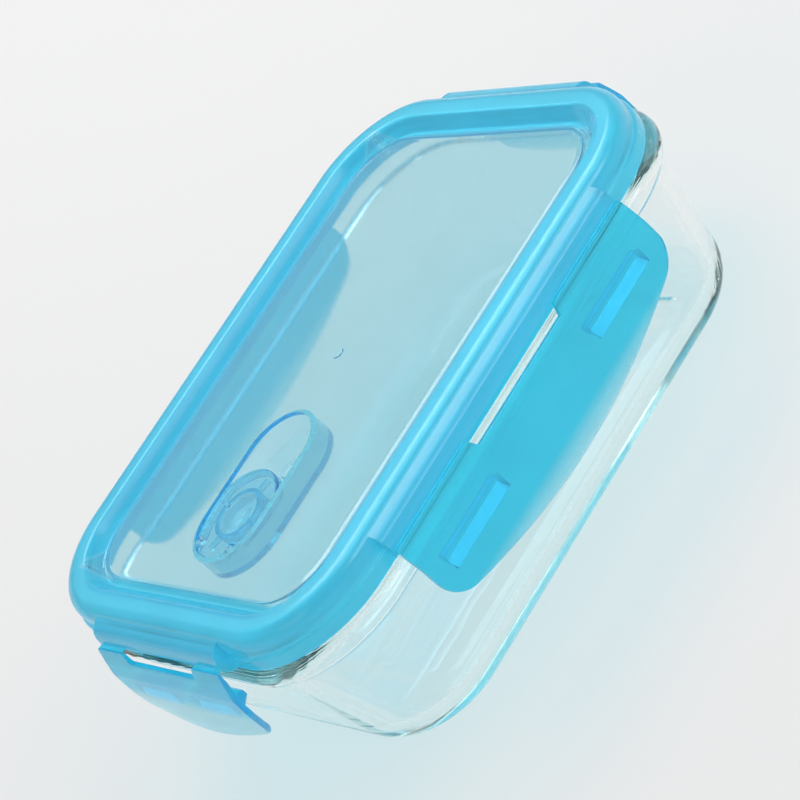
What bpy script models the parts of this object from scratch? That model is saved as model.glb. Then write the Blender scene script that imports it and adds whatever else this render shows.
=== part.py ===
"""Glass storage container: a rectangular glass dish, a flexible lid with four side latches, and a flip-up vent.

Metres, +Z up. The origin is the centre of the dish's underside, +X runs along the long side and -Y is the
front. Sections are drawn as (offset, height) points, where offset counts outwards from the outline of the
lid's crown. Each latch and the vent cap has its origin on its hinge axis.
"""

import math

import bmesh
import bpy
from mathutils import Matrix, Vector

# Outline of the lid's crown, which every ring of the dish, seal and lid follows.
CROWN_LENGTH = 0.202
CROWN_WIDTH = 0.1474
CROWN_CORNER_RADIUS = 0.034
CORNER_STEPS = 8

# Gap left between pieces that touch.
FIT_GAP = 0.0003

# Glass dish.
RIM_HEIGHT = 0.0605
DISH_FLOOR = 0.005
DISH_WALL = 0.0046
WALL_TOP_OFFSET = -0.0014
WALL_FOOT_OFFSET = -0.0045
END_WALL_LEAN = 0.0045
BOTTOM_FILLET = 0.012
INNER_FILLET = 0.009
FOOT_RING_WIDTH = 0.0085
FOOT_RECESS = 0.0008
BEAD_REACH = 0.0029
BEAD_RADIUS = 0.0037
BEAD_DEPTH = 0.0086
RIM_OUTER_OFFSET = -0.0014
RIM_INNER_OFFSET = -0.0059
RIM_ROUNDING = 0.0009

# Seal and lid.
SEAL_HEIGHT = 0.0061
LID_WALL = 0.0018
CROWN_ROUNDING = 0.0045
CROWN_FLAT = 0.0037
CROWN_INNER_ROUNDING = 0.0016
CROWN_DEPTH = 0.0046
CROWN_INNER_RUN = 0.0046
PANEL_DROP = 0.003
PANEL_GROOVE = 0.0012
PANEL_EDGE_RUN = 0.0022
SHOULDER_DROP = 0.0074
SHOULDER_STEP = 0.001
SKIRT_CLEARANCE = 0.0007
RIB_LENGTH = 0.0096
RIB_WIDTH = 0.0017
GATE_MARK_RADIUS = 0.002
GATE_MARK_HEIGHT = 0.0003
EDGE_ROUNDING = 0.0004
SEAL_BEAD_LIFT = 0.0007

# Latches and their living hinges.
HINGE_DROP = 0.0084
LEDGE_REACH = 0.0047
LEDGE_WALL = 0.0015
# The shelf's top, from inside the crown to the hinge, as (offset, drop below the crown).
LEDGE_TOP = ((-0.0016, 0.00205), (0.001, 0.0025), (0.0026, 0.0031), (0.0038, 0.0043), (0.0045, 0.0061))
LEDGE_EDGE = 0.0007
# Its end gussets below the hinge, as (offset, height above the skirt's edge), and its hollow, as (offset, drop).
GUSSET_FOOT = ((0.0028, 0.0011), (0.0014, 0.0004), (-0.0002, 0.0006))
LEDGE_HOLLOW = ((0.0029, 0.0064), (0.0023, 0.0052), (0.0013, 0.0045), (0.0003, 0.0043))
WEB_WIDTH = 0.0006
WEB_THICKNESS = 0.0005
FLAP_WALL = 0.0018
FLAP_TOP_WALL = 0.0008
FLAP_TOP_LIFT = 0.0002
KNEE_DROP = 0.0044
KNEE_REACH = 0.0029
CREASE_DROP = 0.0089
CREASE_REACH = 0.0042
LIP_BULGE = 0.0005
LIP_FLARE = 0.0018
LIP_FLARE_TAPER = 0.0024
LIP_TIP_ROOM = 0.001
LONG_LATCH_LENGTH = 0.122
LONG_LATCH_DROP = 0.0322
LONG_LATCH_BOW = 0.0086
LONG_LATCH_CORNER = 0.008
LONG_SLIT_LENGTH = 0.048
LONG_RIDGE_START = 0.0255
LONG_RIDGE_END = 0.0535
SHORT_LATCH_LENGTH = 0.069
SHORT_LATCH_DROP = 0.0298
SHORT_LATCH_BOW = 0.0045
SHORT_LATCH_CORNER = 0.004
SHORT_SLIT_LENGTH = 0.040
SHORT_RIDGE_START = 0.006
SHORT_RIDGE_END = 0.027
SLIT_DEPTH = 0.0035
SLIT_SLOPE = 0.0016
HOOK_CLEARANCE = 0.0003
HOOK_HEIGHT = 0.0048
HOOK_SLOPE = 0.0026
HOOK_EDGE = 0.0006

# Vent.
WELL_CENTRE_X = -0.0482
WELL_LENGTH = 0.0525
WELL_WIDTH = 0.0285
WELL_DEPTH = 0.008
WELL_WALL = 0.0015
VENT_X = -0.0578
VENT_HOLE_RADIUS = 0.003
SEAT_RADIUS = 0.005
SEAT_HEIGHT = 0.0008
FLOOR_BOSS_X = -0.0375
FLOOR_BOSS_RADIUS = 0.0032
CAP_RECESS = 0.0005
CAP_PLATE = 0.0016
CAP_SKIRT = 0.0020
CAP_WALL = 0.0012
CAP_SIDE_GAP = 0.0005
CAP_BACK_GAP = 0.0012
CAP_NOSE_RADIUS = 0.0156
CAP_HINGE_INSET = 0.00365
TRUNNION_RADIUS = 0.0007
TRUNNION_CLEARANCE = 0.0003
TRUNNION_HALF_SPAN = 0.0089
LUG_THICKNESS = 0.0024
LUG_BACK = 0.0018
LUG_FRONT = 0.0015
LUG_BELOW = 0.0016
LUG_ABOVE = 0.0012
CAP_NOTCH_GAP = 0.0007
CAP_TAIL = 0.0036
CAP_RIB_WIDTH = 0.001
CAP_RIB_TURN = 75
PLUG_TUBE_RADIUS = 0.009
PLUG_TUBE_WALL = 0.0014
PLUG_TUBE_DEPTH = 0.0043
PLUG_TIP_RADIUS = 0.0019
PLUG_DIMPLE_FLOOR = 0.0022
PLUG_DIMPLE_RADIUS = 0.0056
PLUG_SKIRT_HEIGHT = 0.0012
PLUG_SKIRT_BEVEL = 0.0008

# Heights and places worked out from the values above.
BEAD_TOP = RIM_HEIGHT - BEAD_DEPTH + BEAD_RADIUS
BEAD_BOTTOM = RIM_HEIGHT - BEAD_DEPTH - BEAD_RADIUS
CROWN_TOP = RIM_HEIGHT + FIT_GAP + SEAL_HEIGHT + FIT_GAP + LID_WALL
PANEL_TOP = CROWN_TOP - PANEL_DROP
SKIRT_BOTTOM = BEAD_TOP + SKIRT_CLEARANCE
RIB_OUTER_OFFSET = -(CROWN_ROUNDING + CROWN_FLAT + 0.0001)
HINGE_Z = CROWN_TOP - HINGE_DROP
HINGE_OFFSET = LEDGE_REACH + FIT_GAP + WEB_WIDTH / 2
HOOK_TIP_OFFSET = BEAD_REACH + HOOK_CLEARANCE
HOOK_TOP = BEAD_BOTTOM - 2 * FIT_GAP
WELL_FLOOR = PANEL_TOP - WELL_DEPTH
WELL_RADIUS = WELL_WIDTH / 2
WELL_END_X = WELL_CENTRE_X - WELL_LENGTH / 2
CAP_TOP = PANEL_TOP - CAP_RECESS
CAP_AXIS = Vector((WELL_END_X + CAP_HINGE_INSET, 0, CAP_TOP - CAP_PLATE / 2))
OVERSHOOT = 0.005

GLASS = ("glass", (0.86, 0.94, 0.92, 1), 0.03)
BLUE_PLASTIC = ("blue_plastic", (0.08, 0.55, 0.82, 1), 0.25)
CLEAR_PLASTIC = ("clear_plastic", (0.55, 0.82, 0.92, 1), 0.15)
SILICONE = ("silicone", (0.88, 0.93, 0.95, 1), 0.5)


def clear_scene():
    for item in list(bpy.data.objects):
        bpy.data.objects.remove(item, do_unlink=True)


def material(node_name, finish):
    name, colour, roughness = finish
    made = bpy.data.materials.new(f"{node_name}_{name}")
    made.use_nodes = True
    shader = made.node_tree.nodes["Principled BSDF"]
    shader.inputs["Base Color"].default_value = colour
    shader.inputs["Roughness"].default_value = roughness
    shader.inputs["Metallic"].default_value = 0
    made.diffuse_color = colour
    return made


def arc(centre, radius, start_deg, end_deg, steps):
    """Points on an arc in a section, both ends included."""
    points = []
    for step in range(steps + 1):
        angle = math.radians(start_deg + (end_deg - start_deg) * step / steps)
        points.append((centre[0] + radius * math.cos(angle), centre[1] + radius * math.sin(angle)))
    return points


def outline_ring(offset, height, end_inset=0.0):
    """The crown's rounded rectangle, moved outwards by offset, as points at one height."""
    radius = CROWN_CORNER_RADIUS + offset
    centre_x = CROWN_LENGTH / 2 - CROWN_CORNER_RADIUS - end_inset
    centre_y = CROWN_WIDTH / 2 - CROWN_CORNER_RADIUS
    signs = ((1, 1), (-1, 1), (-1, -1), (1, -1))
    points = []
    for corner, (sign_x, sign_y) in enumerate(signs):
        centre = (sign_x * centre_x, sign_y * centre_y)
        for x, y in arc(centre, radius, 90 * corner, 90 * corner + 90, CORNER_STEPS):
            points.append(Vector((x, y, height)))
    return points


def circle_ring(x, y, radius, height, steps=32):
    return [Vector((px, py, height)) for px, py in arc((x, y), radius, 0, 360, steps)[:-1]]


def new_object(name, mesh_builder, finish=None):
    """Closes the bmesh into an object. Without a finish it is a cutter or a shape to be joined on."""
    bmesh.ops.recalc_face_normals(mesh_builder, faces=mesh_builder.faces)
    mesh = bpy.data.meshes.new(name)
    mesh_builder.to_mesh(mesh)
    mesh_builder.free()
    made = bpy.data.objects.new(name, mesh)
    bpy.context.scene.collection.objects.link(made)
    if finish is None:
        made.hide_render = True
        made.display_type = "WIRE"
    else:
        mesh.materials.append(material(name, finish))
    return made


def stack_rings(name, rings, finish=None, closed=False):
    """Extrudes the first ring of points through the others. Closed welds the last to the first; else the ends are capped."""
    builder = bmesh.new()
    corners = [builder.verts.new(point) for point in rings[0]]
    edges = [builder.edges.new(pair) for pair in zip(corners, corners[1:] + corners[:1])]
    first = edges
    for points in rings[1:] + rings[:1] * closed:
        made = bmesh.ops.extrude_edge_only(builder, edges=edges)["geom"]
        fresh = {item for item in made if isinstance(item, bmesh.types.BMVert)}
        edges = [item for item in made if isinstance(item, bmesh.types.BMEdge) and set(item.verts) <= fresh]
        moved = []
        for corner, point in zip(corners, points):
            partner = next(edge.other_vert(corner) for edge in corner.link_edges if edge.other_vert(corner) in fresh)
            partner.co = point
            moved.append(partner)
        corners = moved
    if closed:
        bmesh.ops.remove_doubles(builder, verts=builder.verts, dist=1e-7)
    else:
        for end in (first, edges):
            bmesh.ops.contextual_create(builder, geom=end)
    return new_object(name, builder, finish)


def prism(name, outline, low, high, finish=None):
    """A flat outline of (x, y) points raised from one height to another."""
    return stack_rings(name, [[Vector((x, y, z)) for x, y in outline] for z in (low, high)], finish)


def block(name, low, high, finish=None):
    outline = [(low[0], low[1]), (high[0], low[1]), (high[0], high[1]), (low[0], high[1])]
    return prism(name, outline, low[2], high[2], finish)


def rod(name, start, end, radius, steps=16):
    """A cylinder between two points, as a cutter or a shape to be joined on."""
    axis = end - start
    builder = bmesh.new()
    bmesh.ops.create_cone(
        builder,
        cap_ends=True,
        segments=steps,
        radius1=radius,
        radius2=radius,
        depth=axis.length,
        matrix=Matrix.Translation((start + end) / 2) @ axis.to_track_quat("Z", "Y").to_matrix().to_4x4(),
    )
    return new_object(name, builder)


def combine(target, operation, tool):
    modifier = target.modifiers.new(f"{operation.lower()} {tool.name}", "BOOLEAN")
    modifier.operation = operation
    modifier.solver = "EXACT"
    modifier.object = tool


def set_pivot(item, point):
    """Moves the object's origin to the point, with its shape staying in place."""
    item.data.transform(Matrix.Translation(-point))
    item.location = point


def shade(item, angle_deg=30):
    item.data.shade_smooth()
    item.data.set_sharp_from_angle(angle=math.radians(angle_deg))


# Glass dish.


def dish_section():
    """From the recess in the underside, out round the foot, up the wall, over the rim and down to the floor."""
    bead_centre = (BEAD_REACH - BEAD_RADIUS, RIM_HEIGHT - BEAD_DEPTH)
    rise = BEAD_BOTTOM - BOTTOM_FILLET
    draft = math.degrees(math.atan2(WALL_TOP_OFFSET - WALL_FOOT_OFFSET, rise))
    foot_outer = WALL_FOOT_OFFSET - BOTTOM_FILLET
    foot_inner = foot_outer - FOOT_RING_WIDTH
    inner_centre = (WALL_FOOT_OFFSET - DISH_WALL - INNER_FILLET, DISH_FLOOR + INNER_FILLET)
    section = [(foot_inner - FOOT_RECESS, FOOT_RECESS), (foot_inner, 0)]
    section += arc((foot_outer, BOTTOM_FILLET), BOTTOM_FILLET, 270, 360 - draft, 6)
    section += [(WALL_TOP_OFFSET, BEAD_BOTTOM - FIT_GAP)]
    section += arc(bead_centre, BEAD_RADIUS, 275, 445, 8)
    section += [(RIM_OUTER_OFFSET, BEAD_TOP + FIT_GAP)]
    outer_round = (RIM_OUTER_OFFSET - RIM_ROUNDING, RIM_HEIGHT - RIM_ROUNDING)
    section += arc(outer_round, RIM_ROUNDING, 0, 90, 3)
    inner_round = (RIM_INNER_OFFSET + RIM_ROUNDING, RIM_HEIGHT - RIM_ROUNDING)
    section += arc(inner_round, RIM_ROUNDING, 90, 180, 3)
    section += [(WALL_TOP_OFFSET - DISH_WALL, BEAD_BOTTOM)]
    section += arc(inner_centre, INNER_FILLET, 360 - draft, 270, 5)
    return section


def end_inset(height):
    """How much further in the short walls stand than the long ones, which grows from the bead down to the foot."""
    return END_WALL_LEAN * max(1 - height / BEAD_BOTTOM, 0)


def make_dish():
    rings = [outline_ring(offset, height, end_inset(height)) for offset, height in dish_section()]
    dish = stack_rings("glass_dish", rings, GLASS)
    shade(dish)


# Seal.


def make_seal():
    """A silicone ring that fills the channel under the crown, with a bead that presses on the rim."""
    bottom = RIM_HEIGHT + FIT_GAP
    top = bottom + SEAL_HEIGHT
    inner = RIB_OUTER_OFFSET + FIT_GAP
    round_centre = (-CROWN_ROUNDING, CROWN_TOP - CROWN_ROUNDING)
    round_radius = CROWN_ROUNDING - LID_WALL - FIT_GAP
    outer = round_centre[0] + round_radius
    section = [(RIM_INNER_OFFSET, bottom + SEAL_BEAD_LIFT), (RIM_INNER_OFFSET + SEAL_BEAD_LIFT, bottom)]
    section += [(outer - 2 * SEAL_BEAD_LIFT, bottom), (outer, bottom + 2 * SEAL_BEAD_LIFT)]
    section += arc(round_centre, round_radius, 0, 90, 5)
    section += [(inner + EDGE_ROUNDING, top), (inner, top - EDGE_ROUNDING), (inner, bottom + SEAL_BEAD_LIFT)]
    seal = stack_rings("lid_seal", [outline_ring(*point) for point in section], SILICONE, closed=True)
    shade(seal)


# Lid.


def lid_section():
    """From the panel's top, over the crown, down the skirt, up the seal channel and back under the panel."""
    crown_centre = (-CROWN_ROUNDING, CROWN_TOP - CROWN_ROUNDING)
    inner_centre = (-CROWN_ROUNDING - CROWN_FLAT, CROWN_TOP - CROWN_INNER_ROUNDING)
    groove = CROWN_TOP - CROWN_DEPTH
    groove_outer = inner_centre[0] - CROWN_INNER_RUN
    groove_inner = groove_outer - PANEL_GROOVE
    panel_edge = groove_inner - PANEL_EDGE_RUN
    shoulder = CROWN_TOP - SHOULDER_DROP
    rib_bottom = CROWN_TOP - LID_WALL - RIB_LENGTH
    rib_inner = RIB_OUTER_OFFSET - RIB_WIDTH
    edge = EDGE_ROUNDING
    section = [(panel_edge, PANEL_TOP), (panel_edge + PANEL_EDGE_RUN / 2, PANEL_TOP - edge / 2)]
    section += [(groove_inner, groove), (groove_outer, groove), (groove_outer + 1.5 * edge, groove + edge)]
    section += arc(inner_centre, CROWN_INNER_ROUNDING, 150, 90, 3)
    section += arc(crown_centre, CROWN_ROUNDING, 90, 0, 7)
    section += [(0, shoulder), (edge, shoulder - 1.5 * edge), (SHOULDER_STEP, shoulder - 2.5 * edge)]
    section += [(SHOULDER_STEP, SKIRT_BOTTOM + edge), (SHOULDER_STEP - edge, SKIRT_BOTTOM)]
    skirt_inner = SHOULDER_STEP - LID_WALL
    section += [(skirt_inner + edge, SKIRT_BOTTOM), (skirt_inner, SKIRT_BOTTOM + edge)]
    section += [(skirt_inner, shoulder - 4 * edge), (skirt_inner - 2.5 * edge, shoulder - edge)]
    section += arc(crown_centre, CROWN_ROUNDING - LID_WALL, 0, 90, 6)
    section += [(RIB_OUTER_OFFSET + edge, CROWN_TOP - LID_WALL)]
    section += [(RIB_OUTER_OFFSET, CROWN_TOP - LID_WALL - edge), (RIB_OUTER_OFFSET, rib_bottom + edge)]
    section += [(RIB_OUTER_OFFSET - edge, rib_bottom), (rib_inner + edge, rib_bottom)]
    section += [(rib_inner, rib_bottom + edge), (rib_inner, groove - LID_WALL - edge)]
    section += [(rib_inner - edge, groove - LID_WALL), (groove_inner, groove - LID_WALL)]
    section += [(panel_edge, PANEL_TOP - LID_WALL)]
    return section


class Side:
    """One side of the container: the direction out through it, and the sizes of its latch."""

    def __init__(self, name, outward, distance, length, drop, bow, corner, slit, ridge):
        self.name = name
        self.outward = Vector(outward)
        self.along = Vector((-outward[1], outward[0], 0))
        self.distance = distance
        self.half_length = length / 2
        self.drop = drop
        self.bow = bow
        self.corner = corner
        self.slit = slit / 2
        self.ridge = ridge

    def place(self, along, offset, height):
        return self.outward * (self.distance + offset) + self.along * along + Vector((0, 0, height))


LONG = (LONG_LATCH_LENGTH, LONG_LATCH_DROP, LONG_LATCH_BOW, LONG_LATCH_CORNER)
LONG += (LONG_SLIT_LENGTH, (LONG_RIDGE_START, LONG_RIDGE_END))
SHORT = (SHORT_LATCH_LENGTH, SHORT_LATCH_DROP, SHORT_LATCH_BOW, SHORT_LATCH_CORNER)
SHORT += (SHORT_SLIT_LENGTH, (SHORT_RIDGE_START, SHORT_RIDGE_END))
SIDES = [
    Side("front", (0, -1, 0), CROWN_WIDTH / 2, *LONG),
    Side("back", (0, 1, 0), CROWN_WIDTH / 2, *LONG),
    Side("left", (-1, 0, 0), CROWN_LENGTH / 2, *SHORT),
    Side("right", (1, 0, 0), CROWN_LENGTH / 2, *SHORT),
]


def side_prism(side, name, section, half_length, finish=None):
    """A section drawn out along one side of the container."""
    ends = (-half_length, half_length)
    return stack_rings(name, [[side.place(end, *point) for point in section] for end in ends], finish)


def make_ledge(side):
    """The shelf that carries a latch: a curved plate from the crown to the hinge, closed at both ends."""
    lip = HINGE_Z - WEB_THICKNESS / 2 - FIT_GAP / 6
    top = [(offset, CROWN_TOP - drop) for offset, drop in LEDGE_TOP]
    top += [(LEDGE_REACH, HINGE_Z + LEDGE_EDGE), (LEDGE_REACH, lip)]
    gusset = [(LEDGE_REACH - LEDGE_EDGE, lip - 2 * LEDGE_EDGE)]
    gusset += [(offset, SKIRT_BOTTOM + lift) for offset, lift in GUSSET_FOOT]
    ledge = side_prism(side, f"ledge_{side.name}", top + gusset, side.half_length)
    under = lip - FIT_GAP / 3
    hollow = [(LEDGE_REACH + OVERSHOOT, SKIRT_BOTTOM - OVERSHOOT), (LEDGE_REACH + OVERSHOOT, under)]
    hollow += [(LEDGE_REACH - LEDGE_EDGE, under), (LEDGE_REACH - LEDGE_WALL, HINGE_Z + LEDGE_EDGE)]
    hollow += [(offset, CROWN_TOP - drop) for offset, drop in LEDGE_HOLLOW]
    hollow += [(FIT_GAP, SKIRT_BOTTOM - OVERSHOOT)]
    inside = side_prism(side, f"ledge_hollow_{side.name}", hollow, side.half_length - LEDGE_WALL)
    combine(ledge, "DIFFERENCE", inside)
    return ledge


def obround(length, width, centre_x, steps=14):
    """A slot outline along X, centred on Y = 0."""
    radius = width / 2
    reach = length / 2 - radius
    return arc((centre_x + reach, 0), radius, -90, 90, steps) + arc((centre_x - reach, 0), radius, 90, 270, steps)


def add_vent_well(lid):
    """The cup that holds the vent cap: walls, floor, valve seat, moulding boss and hinge lugs."""
    floor_bottom = WELL_FLOOR - WELL_WALL
    cup = prism(
        "well_cup",
        obround(WELL_LENGTH + 2 * WELL_WALL, WELL_WIDTH + 2 * WELL_WALL, WELL_CENTRE_X),
        floor_bottom,
        PANEL_TOP - LID_WALL / 2,
    )
    combine(lid, "UNION", cup)
    cavity = prism("well_cavity", obround(WELL_LENGTH, WELL_WIDTH, WELL_CENTRE_X), WELL_FLOOR, CROWN_TOP)
    combine(lid, "DIFFERENCE", cavity)
    root = WELL_FLOOR - WELL_WALL / 2
    seat = prism("valve_seat", arc((VENT_X, 0), SEAT_RADIUS, 0, 360, 28)[:-1], root, WELL_FLOOR + SEAT_HEIGHT)
    combine(lid, "UNION", seat)
    boss = prism(
        "floor_boss",
        arc((FLOOR_BOSS_X, 0), FLOOR_BOSS_RADIUS, 0, 360, 20)[:-1],
        root,
        WELL_FLOOR + SEAT_HEIGHT,
    )
    combine(lid, "UNION", boss)
    hole = prism(
        "vent_hole",
        arc((VENT_X, 0), VENT_HOLE_RADIUS, 0, 360, 20)[:-1],
        floor_bottom - OVERSHOOT,
        PANEL_TOP,
    )
    combine(lid, "DIFFERENCE", hole)
    inner_y = TRUNNION_HALF_SPAN - LUG_THICKNESS / 2
    for sign, name in ((-1, "near"), (1, "far")):
        edges = sorted((sign * inner_y, sign * (inner_y + LUG_THICKNESS)))
        low = (CAP_AXIS.x - LUG_BACK, edges[0], CAP_AXIS.z - LUG_BELOW)
        high = (CAP_AXIS.x + LUG_FRONT, edges[1], CAP_AXIS.z + LUG_ABOVE)
        combine(lid, "UNION", block(f"lug_{name}", low, high))
    reach = Vector((0, TRUNNION_HALF_SPAN + FIT_GAP, 0))
    sockets = rod("lug_sockets", CAP_AXIS - reach, CAP_AXIS + reach, TRUNNION_RADIUS + TRUNNION_CLEARANCE)
    combine(lid, "DIFFERENCE", sockets)


def make_lid():
    lid = stack_rings("lid_shell", [outline_ring(*point) for point in lid_section()], BLUE_PLASTIC)
    add_vent_well(lid)
    mark = prism(
        "gate_mark",
        arc((0, 0), GATE_MARK_RADIUS, 0, 360, 16)[:-1],
        PANEL_TOP - LID_WALL / 2,
        PANEL_TOP + GATE_MARK_HEIGHT,
    )
    combine(lid, "UNION", mark)
    for side in SIDES:
        combine(lid, "UNION", make_ledge(side))
    shade(lid)
    return lid


# Latches.


def lip_height(side, along):
    """Height of the flap's lower edge: a bow that is lowest in the middle, with rounded corners."""
    bowed = HINGE_Z - side.drop + side.bow * (along / side.half_length) ** 2
    past = abs(along) - (side.half_length - side.corner)
    if past <= 0:
        return bowed
    return bowed + side.corner - math.sqrt(max(side.corner**2 - past**2, 0))


def flap_outer(side, along, height):
    """Offset of the flap's outer face: a sloping plate down to a crease, then a lip that flares in the middle."""
    knee_z = HINGE_Z - KNEE_DROP
    crease_z = HINGE_Z - CREASE_DROP
    top_offset = HINGE_OFFSET + WEB_WIDTH / 2 + FIT_GAP + FLAP_TOP_WALL
    knee = HINGE_OFFSET + KNEE_REACH
    crease = HINGE_OFFSET + CREASE_REACH
    if height >= knee_z:
        return top_offset + (knee - top_offset) * (HINGE_Z - height) / (HINGE_Z - knee_z)
    if height >= crease_z:
        return knee + (crease - knee) * (knee_z - height) / (knee_z - crease_z)
    share = (crease_z - height) / (crease_z - (HINGE_Z - side.drop))
    flare = LIP_FLARE - LIP_FLARE_TAPER * (along / side.half_length) ** 2
    return crease + LIP_BULGE * math.sin(math.pi * share) + flare * share**2


def flap_inner(side, along, height):
    """Offset of its inner face. The wall is thin along the hinge and full from the knee down."""
    slim = min((HINGE_Z + FLAP_TOP_LIFT - height) / KNEE_DROP, 1)
    return flap_outer(side, along, height) - FLAP_TOP_WALL - (FLAP_WALL - FLAP_TOP_WALL) * slim


def flap_section(side, along):
    """The flap's closed section at one station: down its outer face, round its tip and up its inner face."""
    in_slit = (side.slit - abs(along)) / SLIT_SLOPE
    top = HINGE_Z + FLAP_TOP_LIFT - SLIT_DEPTH * min(max(in_slit, 0), 1)
    tip = lip_height(side, along)
    knee_z = HINGE_Z - KNEE_DROP
    crease_z = HINGE_Z - CREASE_DROP
    heights = [top, top - EDGE_ROUNDING, knee_z, crease_z]
    heights += [crease_z + (tip - crease_z) * share for share in (0.2, 0.4, 0.6, 0.8, 0.96)]
    outer = [(flap_outer(side, along, height), height) for height in heights]
    outer[0] = (outer[1][0] - FLAP_TOP_LIFT, top)
    tip_point = (flap_outer(side, along, tip) - FLAP_WALL / 2, tip)
    low = max(HOOK_TOP - HOOK_HEIGHT, tip + LIP_TIP_ROOM)
    scale = (HOOK_TOP - low) / HOOK_HEIGHT
    start, end = side.ridge
    hooked = start <= abs(along) <= end
    lip_heights = [tip + (low - tip) * share for share in (0.08, 0.5)]
    hook = [(flap_inner(side, along, low), low)]
    for drop, reach in ((HOOK_SLOPE, 0), (HOOK_EDGE, 0), (0, HOOK_EDGE)):
        height = HOOK_TOP - drop * scale
        hook.append((HOOK_TIP_OFFSET + reach if hooked else flap_inner(side, along, height), height))
    above_heights = (HOOK_TOP + HOOK_EDGE, crease_z, knee_z, top - FLAP_TOP_LIFT)
    lip_inner = [(flap_inner(side, along, height), height) for height in lip_heights]
    above = [(flap_inner(side, along, height), height) for height in above_heights]
    return outer + [tip_point] + lip_inner + hook + above


def latch_stations(side):
    """Places along the flap where its section is drawn: its ends, corners, ridges, slit and in between."""
    half = side.half_length
    marks = [half - side.corner + side.corner * math.sin(math.radians(turn)) for turn in (0, 25, 48, 68, 82, 90)]
    for edge in side.ridge:
        marks += [edge - FIT_GAP / 3, edge + FIT_GAP / 3]
    marks += [side.slit, side.slit - SLIT_SLOPE, side.slit - SLIT_SLOPE / 2]
    marks += [half * share for share in (0.12, 0.25, 0.55, 0.7)]
    return sorted({-mark for mark in marks} | {0} | set(marks))


def make_latch(side, lid):
    rings = []
    for along in latch_stations(side):
        rings.append([side.place(along, *point) for point in flap_section(side, along)])
    latch = stack_rings(f"latch_{side.name}", rings, BLUE_PLASTIC)
    set_pivot(latch, side.place(0, HINGE_OFFSET, HINGE_Z))
    shade(latch)
    latch.parent = lid
    start = side.slit + FIT_GAP
    half_web = (side.half_length - 2 * FIT_GAP - start) / 2
    half_width = WEB_WIDTH / 2
    half_thickness = WEB_THICKNESS / 2
    for sign, end in ((-1, "a"), (1, "b")):
        rings = []
        for along in (sign * start, sign * (start + 2 * half_web)):
            corners = ((-1, -1), (1, -1), (1, 1), (-1, 1))
            ring = [(HINGE_OFFSET + o * half_width, HINGE_Z + z * half_thickness) for o, z in corners]
            rings.append([side.place(along, *point) for point in ring])
        web = stack_rings(f"hinge_web_{side.name}_{end}", rings, BLUE_PLASTIC)
        web.parent = lid


# Vent cap and plug.


def cap_outline(inset=0.0):
    """The cap seen from above: round at the hinge end, straight along the well, and a broader round nose."""
    half_width = WELL_RADIUS - CAP_SIDE_GAP - inset
    back_radius = WELL_RADIUS - CAP_BACK_GAP - inset
    back_x = WELL_END_X + WELL_RADIUS
    nose = CAP_NOSE_RADIUS - inset
    turn = math.degrees(math.asin(half_width / nose))
    front = arc((VENT_X, 0), nose, -turn, turn, 12)
    shift = math.sqrt(max(half_width**2 - back_radius**2, 0))
    back = arc((back_x - shift / 4, 0), back_radius, 96, 264, 14)
    return front + [(back_x + 0.002, half_width)] + back + [(back_x + 0.002, -half_width)]


def make_vent_cap(lid):
    underside = CAP_TOP - CAP_PLATE
    skirt_bottom = underside - CAP_SKIRT
    cap = prism("vent_cap", cap_outline(), skirt_bottom, CAP_TOP, CLEAR_PLASTIC)
    inside = prism("cap_hollow", cap_outline(CAP_WALL), skirt_bottom - OVERSHOOT, underside)
    combine(cap, "DIFFERENCE", inside)
    tail_low = (WELL_END_X - OVERSHOOT, -WELL_RADIUS, skirt_bottom - OVERSHOOT)
    tail_high = (CAP_AXIS.x + CAP_TAIL, WELL_RADIUS, underside)
    combine(cap, "DIFFERENCE", block("cap_tail_cut", tail_low, tail_high))
    notch_y = TRUNNION_HALF_SPAN - LUG_THICKNESS / 2 - FIT_GAP
    for sign, name in ((-1, "near"), (1, "far")):
        edges = sorted((sign * notch_y, sign * (notch_y + OVERSHOOT)))
        low = (WELL_END_X - OVERSHOOT, edges[0], skirt_bottom)
        high = (CAP_AXIS.x + LUG_FRONT + CAP_NOTCH_GAP, edges[1], CAP_TOP + OVERSHOOT)
        combine(cap, "DIFFERENCE", block(f"cap_notch_{name}", low, high))
        start = Vector((CAP_AXIS.x, sign * (notch_y - 0.001), CAP_AXIS.z))
        end = Vector((CAP_AXIS.x, sign * TRUNNION_HALF_SPAN, CAP_AXIS.z))
        combine(cap, "UNION", rod(f"trunnion_{name}", start, end, TRUNNION_RADIUS))
    tube_bottom = underside - PLUG_TUBE_DEPTH
    tube = prism(
        "plug_tube",
        arc((VENT_X, 0), PLUG_TUBE_RADIUS, 0, 360, 32)[:-1],
        tube_bottom,
        underside + CAP_PLATE / 2,
    )
    for turn in range(4):
        angle = math.radians(CAP_RIB_TURN + 90 * turn)
        direction = Vector((math.cos(angle), math.sin(angle), 0))
        across = Vector((-direction.y, direction.x, 0)) * CAP_RIB_WIDTH / 2
        base = Vector((VENT_X, 0, 0))
        inner = base + direction * (PLUG_TUBE_RADIUS - PLUG_TUBE_WALL / 2)
        outer = base + direction * (WELL_RADIUS - CAP_SIDE_GAP - CAP_WALL / 2)
        corners = [inner - across, outer - across, outer + across, inner + across]
        outline = [(corner.x, corner.y) for corner in corners]
        rib = prism(f"cap_rib_{turn}", outline, underside - CAP_SKIRT * 0.8, underside + CAP_PLATE / 4)
        combine(cap, "UNION", rib)
    combine(cap, "UNION", tube)
    bore = prism(
        "plug_bore",
        arc((VENT_X, 0), PLUG_TUBE_RADIUS - PLUG_TUBE_WALL, 0, 360, 32)[:-1],
        tube_bottom - OVERSHOOT,
        underside,
    )
    combine(cap, "DIFFERENCE", bore)
    set_pivot(cap, CAP_AXIS)
    shade(cap)
    cap.parent = lid
    return cap


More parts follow.
